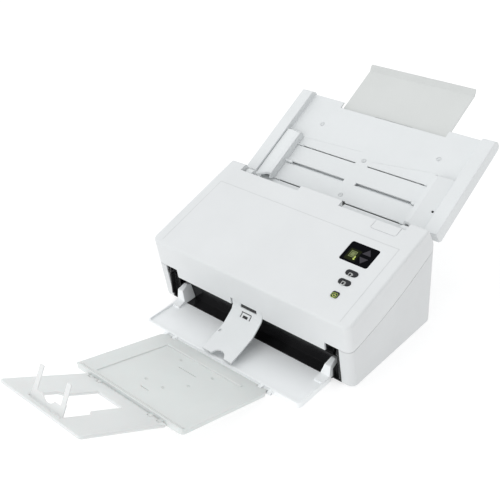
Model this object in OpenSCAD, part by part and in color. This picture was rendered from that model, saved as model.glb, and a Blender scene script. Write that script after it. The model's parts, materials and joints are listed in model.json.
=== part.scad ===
// Sheet fed document scanner: a desktop casing with a straight paper path, a fold-down input
// tray behind it and a chain of fold-out output trays in front.
// x runs across the paper, y runs from front to back and z is up. Lengths are in millimetres.

/* [Casing] */
// Width of the casing
case_w = 316; // [312:1:320]
// Height of the front face
front_h = 93.7; // [92:0.1:95]
// How far the foot of the front face stands back from its top edge
front_lean = 11.3; // [10:0.1:12]
// Slope of the top cover in degrees
cover_slope = 16.75; // [16.5:0.05:17]
// Wall thickness of the casing
wall = 2.5; // [2:0.1:2.8]
// Radius of the upright corners
corner_r = 9; // [7:0.5:10]
// Height of the rubber feet
foot_h = 2.5; // [2:0.1:3]

/* [Output opening] */
// Half width of the output opening
slot_half = 122; // [120:1:123]
// Height of the output opening above the casing floor
slot_top = 43.5; // [43:0.1:44]
// Half width over the taller recesses at the two ends of the opening
ear_half = 141; // [140:0.5:141.5]
// Height of those end recesses
ear_top = 56; // [55:0.5:56.5]

/* [Input tray] */
// Half width over the side rails
tray_half = 154; // [152:0.5:155]
// Half width between the side rails
rail_inner = 136; // [135.5:0.1:136.5]
// Height of the side rails above the paper bed
rail_h = 9.5; // [8:0.1:10]
// Inner face of each paper guide when set for the widest paper
guide_inner = 108; // [108:0.1:108.5]
// Height of the paper guides above the paper bed
guide_h = 12; // [10:0.1:12]

/* [Output trays] */
// Half width of the output tray on the desk
output_half = 127.5; // [126:0.5:128]
// Half width of the first extension
first_half = 88; // [86:0.5:88.5]
// Length of the first extension
first_len = 142; // [140:1:143]
// Half width of the outer extension
outer_half = 65.5; // [64:0.5:66]
// Length of the outer extension
outer_len = 118; // [116:1:119]

/* [Drive] */
// Radius of the rubber feed roller
feed_r = 12; // [11.5:0.1:12]
// Radius of the rubber transport rollers
transport_r = 8; // [7.8:0.1:8]
// Radius of the rubber exit rollers
exit_r = 7; // [6.8:0.1:7]

/* [Hidden] */
$fn = 48;
casing_white = [0.9, 0.905, 0.91];
frosted = [0.86, 0.89, 0.88];
near_black = [0.07, 0.07, 0.08];
steel = [0.72, 0.73, 0.75];
rubber = [0.16, 0.16, 0.17];
case_half = case_w / 2;
case_d = 178;
// the origin of every node: under the middle of the whole unfolded machine, on the desk
mid_y = 47;

// the paper path is one straight plane; s runs up along it from its middle, h stands off it
path_tilt = 28.4;
path_y = 150;
path_z = 93.8;
module on_path(s = 0, h = 0)
    translate([0, path_y, path_z]) rotate([path_tilt, 0, 0]) translate([0, s, h]) children();
function path_point(s, h) = [path_y + s * cos(path_tilt) - h * sin(path_tilt),
                             path_z + s * sin(path_tilt) + h * cos(path_tilt)];

function cover_z(y) = front_h + y * tan(cover_slope);
module on_cover(x, y, h = 0)
    translate([x, y, cover_z(y)]) rotate([cover_slope, 0, 0]) translate([0, 0, h]) children();

// from the casing's own corner to the common origin
module place() translate([0, -mid_y, foot_h]) children();

// ---- outlines and small shapes ----
function unit(v) = v / norm(v);
function inward(a, b) = let (d = unit(b - a)) [-d[1], d[0]];
// a counter-clockwise outline moved inwards by t on every side
function inset(outline, t) = let (n = len(outline)) [
    for (i = [0 : n - 1])
        let (p = outline[i],
             a = inward(outline[(i + n - 1) % n], p),
             b = inward(p, outline[(i + 1) % n]))
        p + t * (a + b) / (1 + a * b)];

// an outline in the y-z plane, drawn from x0 to x1
module side_prism(outline, x0, x1)
    translate([x0, 0, 0]) rotate([90, 0, 90]) linear_extrude(x1 - x0) polygon(outline);
module span(x0, x1, y0, y1, z0, z1)
    translate([x0, y0, z0]) cube([x1 - x0, y1 - y0, z1 - z0]);
module rounded_rect(w, d, r) {
    square([w - 2 * r, d], center = true);
    square([w, d - 2 * r], center = true);
    for (sx = [-1, 1], sy = [-1, 1])
        translate([sx * (w / 2 - r), sy * (d / 2 - r)]) circle(r);
}
// a rounded plate from s0 to s1 and from h0 to h1
module rounded_span(half, s0, s1, h0, h1, r)
    translate([0, (s0 + s1) / 2, h0]) linear_extrude(h1 - h0) rounded_rect(2 * half, s1 - s0, r);
module rod(x0, x1, r, y = 0, z = 0)
    translate([x0, y, z]) rotate([0, 90, 0]) cylinder(r = r, h = x1 - x0);
module both_sides() {
    children();
    mirror([1, 0, 0]) children();
}

// ---- casing ----
rear_top = [161, cover_z(161)];
rear_knee = [case_d, 110];
case_outline = [[front_lean, 0], [case_d, 0], rear_knee, rear_top, [0, front_h]];
function seam(y) = 56.6 + 0.1703 * (y - 11.8) + 0.000954 * (y - 11.8) * (y - 11.8);
seam_gap = 0.35;
// the area above the seam, moved up by dz
function above_seam(dz) = concat([for (y = [-20 : 10 : 190]) [y, seam(y) + dz]], [[190, 200], [-20, 200]]);
function below_seam(dz) = concat([[-20, -20], [190, -20]], [for (y = [190 : -10 : -20]) [y, seam(y) + dz]]);

module casing_block(t = 0) {
    far = 400;
    r = corner_r - t;
    intersection() {
        side_prism(inset(case_outline, t), -case_half + t, case_half - t);
        translate([0, case_d - t - far / 2, -10]) linear_extrude(200) rounded_rect(case_w - 2 * t, far, r);
        translate([0, front_lean, 0]) rotate([atan(front_lean / front_h), 0, 0])
            translate([0, t + far / 2, -60]) linear_extrude(260) rounded_rect(case_w - 2 * t, far, r);
    }
}
module casing_shell()
    difference() {
        casing_block();
        casing_block(wall);
    }
// the output opening: a wide slot with a taller recess at each end
module output_opening(y0, y1, grow = 0) {
    span(-slot_half - grow, slot_half + grow, y0, y1, -5, slot_top + grow);
    both_sides() span(slot_half - 1, ear_half + grow, y0, y1, -5, ear_top + grow);
}

// hinge of the top cover and of the exit flap, low down behind the front face
hinge_y = 10.5;
hinge_z = 45.5;
hinge_pin_r = 1.9;
frame_x = 143;
frame_t = 2;
tray_pivot = [160, 128.5];
tray_pin_r = 2.5;
rear_opening_half = 137;
rear_panel_top = 88;

module lower_case() color(casing_white) place() difference() {
    union() {
        intersection() {
            casing_shell();
            side_prism(below_seam(-seam_gap), -case_half, case_half);
        }
        // screw towers for the side frames
        for (x = [-150, 150], y = [30, 150]) translate([x, y, 1]) cylinder(r = 3.4, h = 12);
    }
    // the whole front between the corner pillars belongs to the cover and the opening
    span(-ear_half - seam_gap, ear_half + seam_gap, -5, 20, -5, 70);
    // the desk tray lies under a raised floor at the front
    span(-ear_half, ear_half, -5, 26, -5, 8);
    // the rear panel is a separate piece
    span(-146, 146, case_d - wall - 0.2, case_d + 1, wall + 0.2, 130);
    for (x = [-150, 150], y = [30, 150]) translate([x, y, -1]) cylinder(r = 1.3, h = 12);
    // recesses for the feet
    for (x = [-130, 130], y = [38, 160]) translate([x, y, -1]) cylinder(r = 7.1, h = 2);
    for (x = [-90 : 12 : 90]) span(x - 1.5, x + 1.5, 60, 130, -1, 5);
}

module foot_pads() color(rubber) place()
    for (x = [-130, 130], y = [38, 160])
        translate([x, y, -foot_h]) {
            cylinder(r = 6.4, h = foot_h + 0.2);
            translate([0, 0, foot_h]) cylinder(r = 7, h = 0.95);
        }

module case_screws() color(steel) place()
    for (x = [-150, 150], y = [30, 150]) translate([x, y, -0.9]) difference() {
        union() {
            cylinder(r = 2.6, h = 0.85);
            cylinder(r = 1.28, h = 10);
        }
        translate([0, 0, -0.2]) cylinder(r = 1.2, h = 0.7, $fn = 6);
    }

usb_x = -20;
jack_x = 40;
port_z = 22;
module rear_cover() color(casing_white) place() difference() {
    union() {
        span(-145.8, 145.8, case_d - wall, case_d, wall + 0.4, rear_panel_top);
        both_sides() span(rear_opening_half + 1, 145.8, case_d - wall, case_d, wall + 0.4, 108);
        // a folded edge stiffens the top between the side frames
        span(-142, 142, case_d - 8, case_d - wall + 0.5, rear_panel_top - wall, rear_panel_top);
    }
    span(usb_x - 6.4, usb_x + 6.4, case_d - 4, case_d + 1, port_z - 5.9, port_z + 5.9);
    translate([jack_x, case_d + 1, port_z]) rotate([90, 0, 0]) cylinder(r = 5.2, h = 6);
    // cooling slots
    for (x = [-126 : 7 : -56]) span(x - 1.5, x + 1.5, case_d - 4, case_d + 1, 30, 70);
    for (x = [70 : 7 : 126]) span(x - 1.5, x + 1.5, case_d - 4, case_d + 1, 30, 70);
    // security lock slot
    span(94, 101, case_d - 4, case_d + 1, 14, 17);
}

// liner of the output opening: ear walls, floor, sill and the panels behind the desk tray
ear_wall = 139;
ear_wall_t = 2;
ear_front = 11.3;
ear_panel = 16;
liner_half = ear_half - 0.1;
liner_floor = 8.2;
liner_rear = 56;
liner_t = 1.4;
sill_front = 9.6;
sill_rear = 25.9;
sill_low = 1.6;
lining_x = 128.1;
module exit_frame() color(near_black) place() difference() {
    union() {
        both_sides() {
            // side and back walls of the end recess
            span(ear_wall, ear_wall + ear_wall_t, 8.5, liner_rear, liner_floor, 54);
            span(slot_half + 4, ear_wall + 1, liner_rear - liner_t, liner_rear, liner_floor, 54);
            span(ear_wall, ear_wall + ear_wall_t, ear_front, sill_rear, sill_low, liner_floor + 0.4);
            // boss that holds the pin of the top cover
            rod(ear_wall, ear_wall + ear_wall_t, 4.2, hinge_y, hinge_z);
            // floor of the recess, the wall beside the tray arm and the panel behind it
            span(lining_x - 1, liner_half, ear_front, sill_rear, sill_low, sill_low + liner_t);
            span(lining_x, lining_x + liner_t, ear_front, liner_rear - 1, sill_low, 30);
            span(lining_x, ear_wall + 1, ear_panel, ear_panel + liner_t, sill_low, 53);
        }
        // floor over the desk tray, the step down in front of it and the sill that meets the tray
        span(-liner_half, liner_half, 27, liner_rear, liner_floor, liner_floor + liner_t);
        span(-liner_half, liner_half, 26.4, 27.8, 2.7, liner_floor + liner_t);
        span(-liner_half, liner_half, 25.5, 27.2, 2.7, 3.2);
        span(-lining_x, lining_x, sill_front, sill_rear, sill_low, sill_low + liner_t);
        // panel between the sill and the end of the paper path, and the wall under the path
        span(-lining_x - 1, lining_x + 1, 25.2, 25.2 + liner_t, 2.7, 24);
        span(-slot_half - 5, slot_half + 5, liner_rear - liner_t, liner_rear, liner_floor, 26);
    }
    rod(-200, 200, 9, exit_axis[0], exit_axis[1]);
    // room for the lower chute
    on_path() translate([-chute_half - 0.6, -200, -3.4]) cube([2 * chute_half + 1.2, 230, 60]);
    both_sides() {
        rod(ear_wall - 1, frame_x, hinge_pin_r, hinge_y, hinge_z);
        rod(lining_x - 1, frame_x, arm_peg_r + 0.05, arm_peg[0], arm_peg[1]);
        // the wall clears the floor of the lower casing
        span(lining_x - 0.5, lining_x + 2, sill_rear, 60, 0, 2.7);
    }
}

// ---- frame and paper path ----
function axis_below(s, r) = path_point(s, -r + 0.2);
function axis_above(s, r) = path_point(s, r + 0.4);
feed_s = -25;
transport_s = -75;
scan_s = -100;
exit_s = -128;
feed_axis = axis_below(feed_s, feed_r);
transport_axis = axis_below(transport_s, transport_r);
exit_axis = axis_below(exit_s, exit_r);
motor_axis = [118, 32];
motor_r = 5;
shaft_r = 3;
bush_r = 5;
pinch_r = 5;
pinch_shaft_r = 1.5;
transport_pinch = axis_above(transport_s, pinch_r);
exit_pinch = axis_above(exit_s, pinch_r);
drive_axes = [feed_axis, transport_axis, exit_axis];

frame_outline = [[16, 3], [172, 3], [172, 106], [164, 122], [163, 131], [156, 132.5],
                 [152, 128], [140, 108], [100, 78], [40, 58], [16, 54]];
module side_frame(x0) difference() {
    side_prism(frame_outline, x0, x0 + frame_t);
    for (a = drive_axes) rod(x0 - 1, x0 + 3, bush_r, a[0], a[1]);
    rod(x0 - 1, x0 + 3, tray_pin_r, tray_pivot[0], tray_pivot[1]);
    rod(x0 - 1, x0 + 3, arm_peg_r, arm_peg[0], arm_peg[1]);
}
module side_frame_left() color(steel) place() side_frame(-frame_x - frame_t);
module side_frame_right() color(steel) place() difference() {
    side_frame(frame_x);
    rod(frame_x - 1, frame_x + 3, 6, motor_axis[0], motor_axis[1]);
}

module shaft_bearings() color([0.85, 0.83, 0.78]) place()
    both_sides() for (a = drive_axes) difference() {
        union() {
            rod(frame_x - 1, frame_x + frame_t, bush_r, a[0], a[1]);
            rod(frame_x - 1.5, frame_x - 0.2, bush_r + 1, a[0], a[1]);
        }
        rod(frame_x - 3, frame_x + 5, shaft_r + 0.05, a[0], a[1]);
    }

module tray_pins() color(steel) place()
    both_sides() {
        rod(119.4, frame_x + frame_t, tray_pin_r, tray_pivot[0], tray_pivot[1]);
        rod(frame_x + frame_t, frame_x + frame_t + 1, tray_pin_r + 1.2, tray_pivot[0], tray_pivot[1]);
    }
lug_x = 136;
lug_t = 2.6;
module cover_pins() color(steel) place()
    both_sides() rod(lug_x, ear_wall + ear_wall_t + 1.2, hinge_pin_r, hinge_y, hinge_z);

chute_half = 130;
chute_front = -141;
chute_rear = 12;
roller_x = [-86, -38, 38, 86];
tyre_w = 16;
module chute_windows(s, r, h0, h1, width)
    for (x = roller_x) translate([x - width / 2, s - r, h0]) cube([width, 2 * r, h1 - h0]);
module lower_chute() color(near_black) place() difference() {
    on_path() difference() {
        union() {
            rounded_span(chute_half, chute_front, chute_rear, -2.6, 0, 1);
            // stiffening ribs between the rollers, clear of the scan module
            for (x = [-122, -62, -12, 12, 62, 122])
                translate([x - 1, chute_front + 30, -8]) cube([2, 50, 6]);
        }
        // windows for the rollers and for the scan module
        translate([-27, feed_s - 11, -20]) cube([54, 22, 30]);
        chute_windows(transport_s, 8.5, -20, 10, tyre_w + 3);
        chute_windows(exit_s, 7.5, -20, 10, tyre_w + 3);
        translate([-118.5, scan_s - 9, -20]) cube([237, 18, 30]);
    }
    for (a = drive_axes) rod(-200, 200, shaft_r + 1, a[0], a[1]);
}
module lower_scan_module() color([0.1, 0.1, 0.11]) place() on_path() difference() {
    translate([-118, scan_s - 8, -16]) cube([236, 16, 15.3]);
    translate([-113, scan_s - 6.5, -14]) cube([226, 13, 20]);
}
module lower_scan_glass() color([0.75, 0.85, 0.85, 0.5]) place() on_path()
    translate([-112.8, scan_s - 6.3, -2.6]) cube([225.6, 12.6, 2]);

// ---- drive ----
module drive_motor() color([0.3, 0.3, 0.32]) place() {
    rod(110, frame_x - 2.2, 17, motor_axis[0], motor_axis[1]);
    rod(frame_x - 2.2, frame_x - 0.2, 20, motor_axis[0], motor_axis[1]);
    rod(frame_x - 0.2, frame_x + 2.5, 5.8, motor_axis[0], motor_axis[1]);
}
pulley_x = 147;
pulley_w = 5;
module pulley(r) {
    rod(pulley_x, pulley_x + pulley_w, r);
    rod(pulley_x - 0.8, pulley_x, r + 1);
}
module motor_pulley() color(near_black) place() translate([0, motor_axis[0], motor_axis[1]]) {
    pulley(motor_r);
    rod(frame_x + 2.7, pulley_x, 1.5);
}
module belt_loop(grow)
    hull() {
        translate(motor_axis) circle(motor_r + grow, $fn = 40);
        translate(feed_axis) circle(feed_r + grow, $fn = 40);
        translate(transport_axis) circle(transport_r + grow, $fn = 40);
        translate(exit_axis) circle(exit_r + grow, $fn = 40);
    }
module drive_belt() color([0.12, 0.12, 0.12]) place()
    translate([pulley_x + 0.4, 0, 0]) rotate([90, 0, 90]) linear_extrude(4) difference() {
        belt_loop(1.6);
        belt_loop(0.3);
    }
module roller_shaft(r, x0) {
    rod(x0, pulley_x + pulley_w, shaft_r);
    pulley(r);
}
module feed_shaft() color(steel) place() translate([0, feed_axis[0], feed_axis[1]]) {
    roller_shaft(feed_r, -frame_x - 2);
    difference() {
        rod(-23, 23, feed_r - 4);
        for (a = [0 : 60 : 300]) rotate([a, 0, 0]) rod(-24, -12, 1.5, 5.6);
    }
}
module feed_tyre() color(rubber) place() translate([0, feed_axis[0], feed_axis[1]])
    difference() {
        rod(-23, 23, feed_r);
        rod(-24, 24, feed_r - 4);
        for (a = [0 : 20 : 340]) rotate([a, 0, 0]) span(-24, 24, feed_r - 0.5, feed_r + 1, -0.5, 0.5);
    }
module tyres(outer, inner) for (x = roller_x) difference() {
    rod(x - tyre_w / 2, x + tyre_w / 2, outer);
    rod(x - tyre_w, x + tyre_w, inner);
}
module transport_shaft() color(steel) place() translate([0, transport_axis[0], transport_axis[1]])
    roller_shaft(transport_r, -frame_x - 2);
module transport_tyres() color(rubber) place() translate([0, transport_axis[0], transport_axis[1]])
    tyres(transport_r, shaft_r);
module exit_shaft() color(steel) place() translate([0, exit_axis[0], exit_axis[1]])
    roller_shaft(exit_r, -frame_x - 2);
module exit_tyres() color(rubber) place() translate([0, exit_axis[0], exit_axis[1]])
    tyres(exit_r, shaft_r);

// ---- electronics ----
module main_board() color([0.1, 0.4, 0.22]) place() {
    span(-110, 60, 163, 164.6, 12, 78);
    span(-60, -32, 160, 163, 40, 66);
    span(-95, -80, 159, 163, 20, 60);
    span(10, 40, 158, 163, 50, 58);
}
module usb_port() color(steel) place() difference() {
    span(usb_x - 6, usb_x + 6, 164.6, case_d - 0.4, port_z - 5.5, port_z + 5.5);
    span(usb_x - 4.6, usb_x + 4.6, 168, case_d + 1, port_z - 4.2, port_z + 4.2);
}
jack_bore_r = 2.85;
module power_jack() color(near_black) place() difference() {
    union() {
        translate([jack_x, case_d - 0.2, port_z]) rotate([90, 0, 0]) cylinder(r = 5, h = 4);
        span(jack_x - 5.5, jack_x + 5.5, 164.6, case_d - 4, port_z - 6, port_z + 6);
    }
    translate([jack_x, case_d + 1, port_z]) rotate([90, 0, 0]) cylinder(r = jack_bore_r, h = 10.2);
}

// ---- top cover ----
cover_rear = 149;
bump_rear = 158;
bump_half = 33;
horn_inner = 132;
key_x = 114;
window = [105.3, 94.2, 40, 30.8];
tab_x = 109;
tab_w = 35.6;
tab_hinge_y = 136.6;
tab_nose = 1.3;
tab_pin_r = 0.9;
tab_pin_depth = 1.2;
button_size = [16.5, 8.4];
module window_shape(grow) rounded_rect(window[2] + 2 * grow, window[3] + 2 * grow, 3 + grow);
module oblong(grow) {
    square([button_size[0] - button_size[1], button_size[1] + 2 * grow], center = true);
    for (sx = [-1, 1]) translate([sx * (button_size[0] - button_size[1]) / 2, 0])
        circle(button_size[1] / 2 + grow);
}
module power_shape(grow) rounded_rect(9.4 + 2 * grow, 9 + 2 * grow, 2.4 + grow);
module arrow_shape(grow)
    polygon([for (p = inset([[-6, -4.4], [6, -4.4], [0, 4.6]], -grow)) p]);
up_place = [113.4, 100.6];
down_place = [113.4, 87.3];
function_y = 67;
scan_y = 52.8;
power_y = 33.5;
module through_cover(x, y) on_cover(x, y, -20) linear_extrude(30) children();

module horn_inner_wall() difference() {
    intersection() {
        casing_block(0.5);
        side_prism(above_seam(seam_gap + 1), horn_inner, horn_inner + 2);
        span(0, 200, cover_rear - 3, 200, 100, 160);
    }
    // a curved slot lets the tray pin out when the cover swings up
    rod(100, 150, tray_pin_r + 1.5, tray_pivot[0], tray_pivot[1]);
    intersection() {
        pin_reach = norm(tray_pivot - [hinge_y, hinge_z]);
        difference() {
            rod(100, 150, pin_reach + tray_pin_r + 1.5, hinge_y, hinge_z);
            rod(99, 151, pin_reach - tray_pin_r - 1.5, hinge_y, hinge_z);
        }
        span(100, 150, 140, 200, 60, tray_pivot[1]);
    }
}
module rear_lip() {
    span(-horn_inner - 1, -bump_half + 2, cover_rear - wall, cover_rear, 112, 145);
    span(bump_half - 2, horn_inner + 1, cover_rear - wall, cover_rear, 112, 145);
    span(-bump_half, bump_half, bump_rear - wall, bump_rear, 122, 145);
    both_sides() span(bump_half - wall, bump_half, cover_rear - wall, bump_rear, 122, 145);
}
module top_cover() color(casing_white) place() difference() {
    union() {
        difference() {
            intersection() {
                casing_shell();
                union() {
                    side_prism(above_seam(seam_gap), -case_half, case_half);
                    span(-ear_half, ear_half, -5, 12, slot_top, 70);
                }
            }
            // the tray arms stand between the horns
            span(-horn_inner, horn_inner, bump_rear, 200, 50, 200);
            both_sides() span(bump_half, horn_inner, cover_rear, 200, 50, 200);
        }
        both_sides() horn_inner_wall();
        intersection() {
            casing_block(0.5);
            rear_lip();
        }
        // lugs for the exit flap
        both_sides() {
            rod(27, 30, 3.4, hinge_y, hinge_z);
            intersection() {
                span(27, 30, 5, hinge_y + 3.4, hinge_z, 58);
                casing_block(0.5);
            }
        }
        // bosses under the control panel
        for (p = [[92, 60], [92, 40], [140, 105]])
            on_cover(p[0], p[1], -11) cylinder(r = 3, h = 9.5);
    }
    output_opening(-20, 9, 0);
    span(-26, 26, -20, 9, -5, 54.5);
    both_sides() rod(26, 31, 1.56, hinge_y, hinge_z);
    through_cover(window[0], window[1]) window_shape(0.15);
    for (y = [function_y, scan_y]) through_cover(key_x, y) oblong(0.2);
    through_cover(key_x + 1, power_y) power_shape(0.2);
    // cut-out of the release tab and the holes for its pins
    through_cover(tab_x, tab_hinge_y) translate([0, 11.3 - tab_nose - 0.4])
        rounded_rect(tab_w + 0.8, 22.6, 3.4);
    on_cover(tab_x, tab_hinge_y, -tab_pin_depth) rod(-tab_w / 2 - 1.7, tab_w / 2 + 1.7, tab_pin_r + 0.06);
}

module display_window() color([0.03, 0.03, 0.035]) place()
    on_cover(window[0], window[1], -1.8) difference() {
        linear_extrude(1.9) window_shape(0);
        for (p = [up_place, down_place])
            translate([p[0] - window[0], (p[1] - window[1]) / cos(cover_slope), -1])
                linear_extrude(5) mirror([0, p == up_place ? 0 : 1]) arrow_shape(0.15);
    }
module lcd_panel() color([0.45, 0.52, 0.32]) place()
    on_cover(97.4, 94.4, -4.2) linear_extrude(2.2) square([16, 16], center = true);
module arrow_key(p, flip) on_cover(p[0], p[1], -3.4) {
    linear_extrude(3.9) mirror([0, flip]) arrow_shape(0);
    linear_extrude(1.2) mirror([0, flip]) arrow_shape(0.6);
    translate([0, 0, -2.2]) cylinder(r = 1.2, h = 3);
}
module up_key() color([0.75, 0.77, 0.78]) place() arrow_key(up_place, 0);
module down_key() color([0.75, 0.77, 0.78]) place() arrow_key(down_place, 1);
module push_key(x, y) on_cover(x, y, -3.2) {
    linear_extrude(4.1) children(0);
    linear_extrude(0.6) children(1);
    translate([0, 0, -3]) cylinder(r = 1.5, h = 3.5);
}
module function_button() color([0.2, 0.21, 0.23]) place() push_key(key_x, function_y) {
    oblong(0);
    oblong(0.6);
}
module scan_button() color([0.2, 0.21, 0.23]) place() push_key(key_x, scan_y) {
    oblong(0);
    oblong(0.6);
}
module power_button() color([0.2, 0.21, 0.23]) place() push_key(key_x + 1, power_y) {
    power_shape(0);
    power_shape(0.6);
}
module key_board() color([0.1, 0.4, 0.22]) place() difference() {
    union() {
        on_cover(108, 66, -9.2) linear_extrude(1.6) square([44, 92], center = true);
        for (p = [up_place, down_place, [key_x, function_y], [key_x, scan_y], [key_x + 1, power_y]])
            on_cover(p[0], p[1], -7.8) linear_extrude(0.6) square([6, 6], center = true);
    }
    for (p = [[92, 60], [92, 40]]) on_cover(p[0], p[1], -12) cylinder(r = 3.2, h = 12);
}
module release_tab() color(casing_white) place()
    on_cover(tab_x, tab_hinge_y) {
        intersection() {
            translate([0, 11 - tab_nose, -2.2]) linear_extrude(2.2) rounded_rect(tab_w, 22, 3);
            span(-tab_w, tab_w, -5, (cover_rear - tab_hinge_y) / cos(cover_slope), -3, 1);
        }
        translate([0, 0, -tab_pin_depth]) rod(-tab_w / 2 - 1.3, tab_w / 2 + 1.3, tab_pin_r);
    }

upper_front = -144.5;
upper_rear = -2;
upper_half = 122;
// plate of the upper chute with the throat that opens upwards at the entry, as [s, h]
upper_profile = [[upper_front, 2.2], [upper_rear, 2.2], [upper_rear + 8.6, 8.8], [upper_rear + 7.2, 10.8],
                 [upper_rear - 0.8, 4.6], [upper_front, 4.6]];
// cheek beside the rollers, which also carries the roof of the end recess, as [y, z]
roof_z = 56.2;
roof_t = 1.6;
cheek_profile = [[22.9, 30], [96, 68.6], [92, 76], [60, roof_z + roof_t], [9.6, roof_z + roof_t], [9.6, 47], [20, 40]];
lug_profile = [[hinge_y - 3.8, hinge_z], [hinge_y + 3.8, hinge_z], [hinge_y + 6, roof_z + 1], [9.6, roof_z + 1]];
module upper_chute() color(near_black) place() difference() {
    union() {
        on_path() {
            side_prism(upper_profile, 1 - upper_half, upper_half - 1);
            for (x = [-58, 58]) translate([x - 1, upper_front + 6, 4]) cube([2, 130, 9]);
        }
        both_sides() {
            side_prism(cheek_profile, upper_half - 2, upper_half);
            // roof of the end recess and the lug that turns on the cover's pin
            span(upper_half - 1, lug_x + lug_t, 9.6, 52, roof_z, roof_z + roof_t);
            side_prism(lug_profile, lug_x, lug_x + lug_t);
            rod(lug_x, lug_x + lug_t, 3.8, hinge_y, hinge_z);
        }
    }
    on_path() {
        translate([-27, feed_s - 11, -5]) cube([54, 22, 30]);
        chute_windows(transport_s, 7, -5, 30, tyre_w + 3);
        chute_windows(exit_s, 7, -5, 30, tyre_w + 3);
        translate([-118.5, scan_s - 9, -5]) cube([237, 18, 30]);
    }
    for (a = [transport_pinch, exit_pinch]) rod(-200, 200, pinch_shaft_r + 0.06, a[0], a[1]);
    both_sides() rod(lug_x - 1, lug_x + lug_t + 1, hinge_pin_r + 0.06, hinge_y, hinge_z);
}
module upper_scan_module() color([0.1, 0.1, 0.11]) place() on_path() difference() {
    translate([-118, scan_s - 8, 2.4]) cube([236, 16, 14.6]);
    translate([-113, scan_s - 6.5, 0]) cube([226, 13, 15]);
}
module upper_scan_glass() color([0.75, 0.85, 0.85, 0.5]) place() on_path()
    translate([-112.8, scan_s - 6.3, 2.5]) cube([225.6, 12.6, 2]);
module separation_holder() color([0.85, 0.86, 0.87]) place() on_path() difference() {
    translate([-24, feed_s - 10, 3]) cube([48, 20, 9]);
    translate([-20, feed_s - 7, 1]) cube([40, 14, 3.6]);
}
module separation_pad() color([0.5, 0.3, 0.22]) place() on_path()
    translate([-19.8, feed_s - 6.8, 0.6]) cube([39.6, 13.6, 3.8]);
module pinch_shaft() {
    rod(-upper_half - 1, upper_half + 1, pinch_shaft_r);
}
module transport_pinch_shaft() color(steel) place()
    translate([0, transport_pinch[0], transport_pinch[1]]) pinch_shaft();
module transport_pinch_rollers() color([0.8, 0.8, 0.82]) place()
    translate([0, transport_pinch[0], transport_pinch[1]]) tyres(pinch_r, pinch_shaft_r);
module exit_pinch_shaft() color(steel) place()
    translate([0, exit_pinch[0], exit_pinch[1]]) pinch_shaft();
module exit_pinch_rollers() color([0.8, 0.8, 0.82]) place()
    translate([0, exit_pinch[0], exit_pinch[1]]) tyres(pinch_r, pinch_shaft_r);

// ---- input tray, drawn along the paper path ----
bed_start = 14;
bed_t = 2.4;
rail_start = 43;
rail_end = 196;
notch_start = 185.3;
slot_rows = [45.4, 77, 107.8];
slot_widths = [1.6, 4.6, 1.6];
slot_inner = 9.7;
slot_outer = 104.9;
// screw points of the bed, as [x, s]
bed_screws = [[-94.3, 150.6], [94.3, 150.6], [0, 114.6], [0, 55.2]];
// square hole through the cap of the right-hand guide: x, s and side
guide_hole = [130.2, 70.4, 3];
pivot_s = (tray_pivot[0] - path_y) * cos(path_tilt) + (tray_pivot[1] - path_z) * sin(path_tilt);
pivot_h = -(tray_pivot[0] - path_y) * sin(path_tilt) + (tray_pivot[1] - path_z) * cos(path_tilt);
extension_half = 84;
arm_outline = [[14, -9], [50, -9], [50, 0], [37.8, 0], [31.6, 12], [31.6, pivot_h], [18.4, pivot_h], [14, 0]];
rail_outline = [[rail_start + 4, -12], [rail_end - 2, -9.4], [rail_end + 1.5, -6], [rail_end + 1.5, 2],
                [rail_end - 4, rail_h], [rail_start, rail_h], [rail_start, -8]];
module rail()
    difference() {
        side_prism(rail_outline, rail_inner, tray_half);
        side_prism(inset(rail_outline, 2.4), rail_inner + 2.4, tray_half - 2.4);
        // open below, like a moulded channel
        side_prism([[rail_start + 6, -14], [rail_end - 4, -14], [rail_end - 4, 0], [rail_start + 6, 0]],
                   rail_inner + 2.4, tray_half - 2.4);
    }
module tray_bed() color(casing_white) place() on_path() difference() {
    union() {
        translate([-118, bed_start, -bed_t]) cube([236, 40, bed_t]);
        translate([-rail_inner - 1, rail_start, -bed_t])
            cube([2 * rail_inner + 2, rail_end - rail_start - 0.5, bed_t]);
        both_sides() {
            rail();
            side_prism(arm_outline, 119, 130);
            rod(119, 130, 6.6, pivot_s, pivot_h);
            translate([116, bed_start, -bed_t]) cube([4, 36, bed_t]);
            translate([129, rail_start, -9]) cube([8, 7, 9]);
        }
        // hub of the guide pinion
        translate([0, slot_rows[1], -6]) cylinder(r = 3, h = 5);
    }
    both_sides() rod(118, 131, tray_pin_r + 0.05, pivot_s, pivot_h);
    translate([-extension_half - 0.6, notch_start, -20])
        cube([2 * extension_half + 1.2, 30, 40]);
    for (i = [0 : 2]) both_sides()
        translate([slot_inner, slot_rows[i] - slot_widths[i] / 2, -10])
            cube([slot_outer - slot_inner, slot_widths[i], 20]);
    for (p = bed_screws) translate([p[0], p[1], -0.7]) cylinder(r = 3, h = 2);
    // six-sided opening at the inner end of the lowest slot on the right
    translate([slot_inner, slot_rows[0] - 1.2, -10]) cylinder(r = 4.2, h = 20, $fn = 6);
    translate([guide_hole[0] - 0.3, guide_hole[1] - 0.3, -5]) cube([guide_hole[2] + 0.6, guide_hole[2] + 0.6, 10]);
}
back_top = -8.4;
back_t = 1.4;
module tray_back() color(casing_white) place() on_path() difference() {
    union() {
        translate([-rail_inner + 0.4, rail_start + 7.4, back_top - back_t])
            cube([2 * rail_inner - 0.8, notch_start - rail_start - 6, back_t]);
        // runners beside the extension
        both_sides() translate([extension_half + 0.8, 96, back_top - 0.1]) cube([3, 92, 5.8]);
    }
    for (i = [0, 1]) translate([bed_screws[i][0], bed_screws[i][1], -12]) cylinder(r = 1.3, h = 8);
    for (x = [-60 : 20 : 60]) translate([x - 6, 110, back_top - back_t - 0.6]) cube([12, 60, 1.1]);
}

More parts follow.
